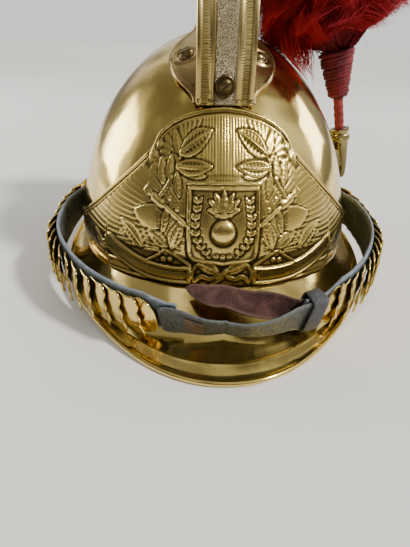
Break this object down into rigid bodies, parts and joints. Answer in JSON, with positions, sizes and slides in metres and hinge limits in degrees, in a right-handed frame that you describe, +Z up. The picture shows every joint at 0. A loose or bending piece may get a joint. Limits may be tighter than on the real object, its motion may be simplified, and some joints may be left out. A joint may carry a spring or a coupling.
{
  "type": "sapper helmet",
  "caption": "Polished brass dress helmet with a peak and neck guard, stamped front plate, tall crest, side plume and scaled chin strap.",
  "frame": {"origin": "centre of the head opening, in the plane of the rim that the helmet stands on", "axes": "+Z up through the head opening, -Y towards the peak, +X towards the wearer's left, where the plume stands"},
  "size_m": [0.2471, 0.3366, 0.2956],
  "materials": {
    "brass": "polished, lightly tarnished",
    "dark_brass": "dull, tarnished",
    "leather": "worn black",
    "brown_leather": "worn red-brown",
    "red_cord": "wound cord",
    "red_feather": "feathers"
  },
  "bodies": {
    "root": {"crest": "brass", "crest_band": "brass", "crest_saddle": "brass", "crest_screw_front": "dark_brass", "crest_screw_left": "dark_brass", "crest_screw_right": "dark_brass", "end_plate_left": "brass", "end_plate_right": "brass", "front_plate": "brass", "neck_guard": "brass", "peak": "brass", "plume_binding": "red_cord", "plume_feathers": "red_feather", "plume_rod": "red_cord", "plume_socket": "brass", "scale_left_1": "brass", "scale_left_10": "brass", "scale_left_11": "brass", "scale_left_12": "brass", "scale_left_13": "brass", "scale_left_14": "brass", "scale_left_2": "brass", "scale_left_3": "brass", "scale_left_4": "brass", "scale_left_5": "brass", "scale_left_6": "brass", "scale_left_7": "brass", "scale_left_8": "brass", "scale_left_9": "brass", "scale_right_1": "brass", "scale_right_10": "brass", "scale_right_11": "brass", "scale_right_12": "brass", "scale_right_13": "brass", "scale_right_14": "brass", "scale_right_15": "brass", "scale_right_2": "brass", "scale_right_3": "brass", "scale_right_4": "brass", "scale_right_5": "brass", "scale_right_6": "brass", "scale_right_7": "brass", "scale_right_8": "brass", "scale_right_9": "brass", "shell": "brass", "strap_boss_left": "brass", "strap_boss_right": "brass", "strap_keeper": "leather", "strap_left": "leather", "strap_right": "leather", "strap_tail": "brown_leather", "strap_tongue": "leather"}
  },
  "joints": []
}
